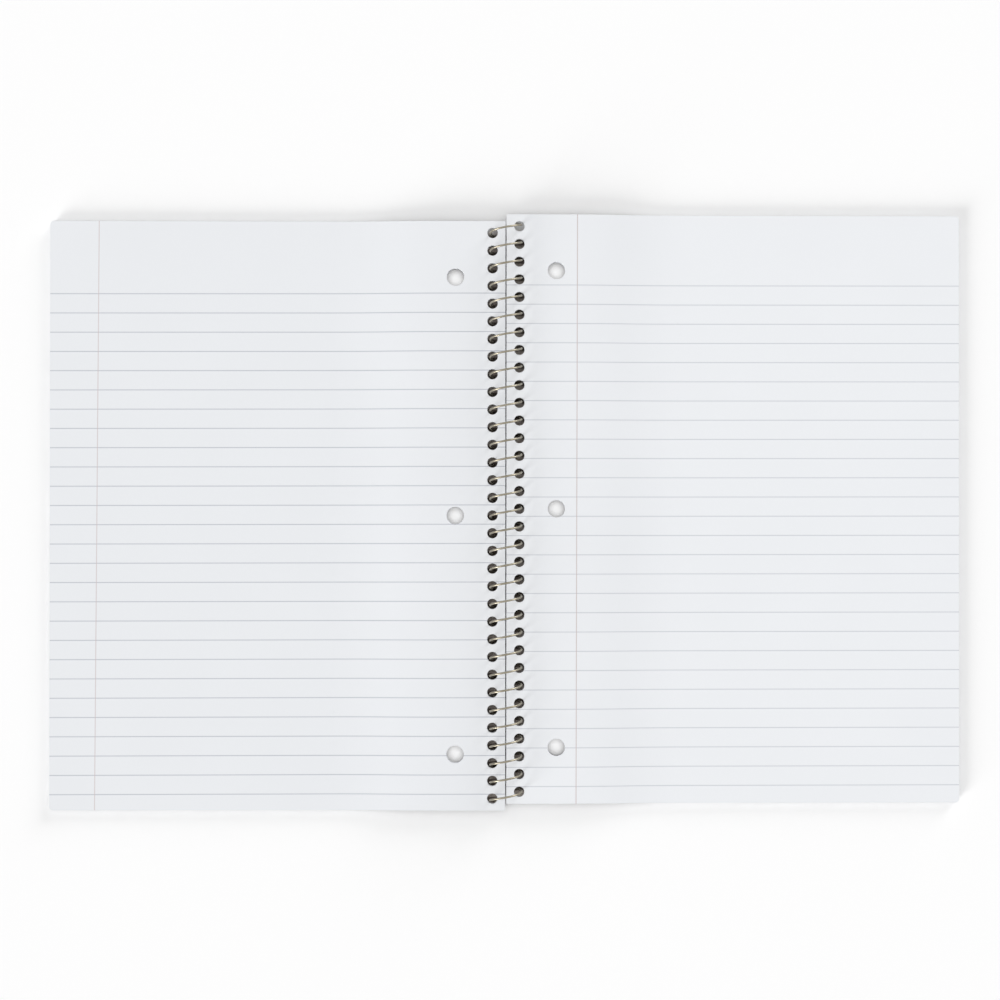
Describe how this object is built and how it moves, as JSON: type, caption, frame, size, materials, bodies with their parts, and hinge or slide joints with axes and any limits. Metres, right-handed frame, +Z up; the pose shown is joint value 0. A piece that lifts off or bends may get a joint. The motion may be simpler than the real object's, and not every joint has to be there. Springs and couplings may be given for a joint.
{
  "type": "open spiral notebook",
  "caption": "Spiral notebook lying open flat: ruled punched pages and card covers on both sides of a single wire coil, with binder holes beside the spine.",
  "frame": {"origin": "on the table, straight under the coil's axis, halfway along the coil: the bottom centre of the bounding box", "axes": "+X towards the right-hand pages, +Y along the coil towards the tops of the pages, +Z up from the table"},
  "size_m": [0.4126, 0.2698, 0.0151],
  "materials": {
    "paper": "uncoated bright white writing paper with pale blue-grey rules and a pale pink margin line",
    "cover_card": "smooth black card, slightly satin",
    "coil_wire": "drawn steel wire with a pale champagne plating"
  },
  "bodies": {
    "right_half": {"right_pages": "paper", "back_cover": "cover_card"},
    "left_half": {"left_pages": "paper", "front_cover": "cover_card"},
    "coil": {"wire_coil": "coil_wire"}
  },
  "joints": [
    {"name": "front_cover_turn", "type": "hinge", "parent": "right_half", "child": "left_half", "pos_m": [0, 0, 0.00755], "axis": [0, 1, 0], "range_deg": [0, 182]},
    {"name": "coil_spin", "type": "hinge", "parent": "right_half", "child": "coil", "pos_m": [0, 0, 0.00755], "axis": [0, 1, 0], "range_deg": [0, 91]}
  ],
  "couplings": [
    {"joint": "coil_spin", "follows": "front_cover_turn", "ratio": 0.5}
  ]
}
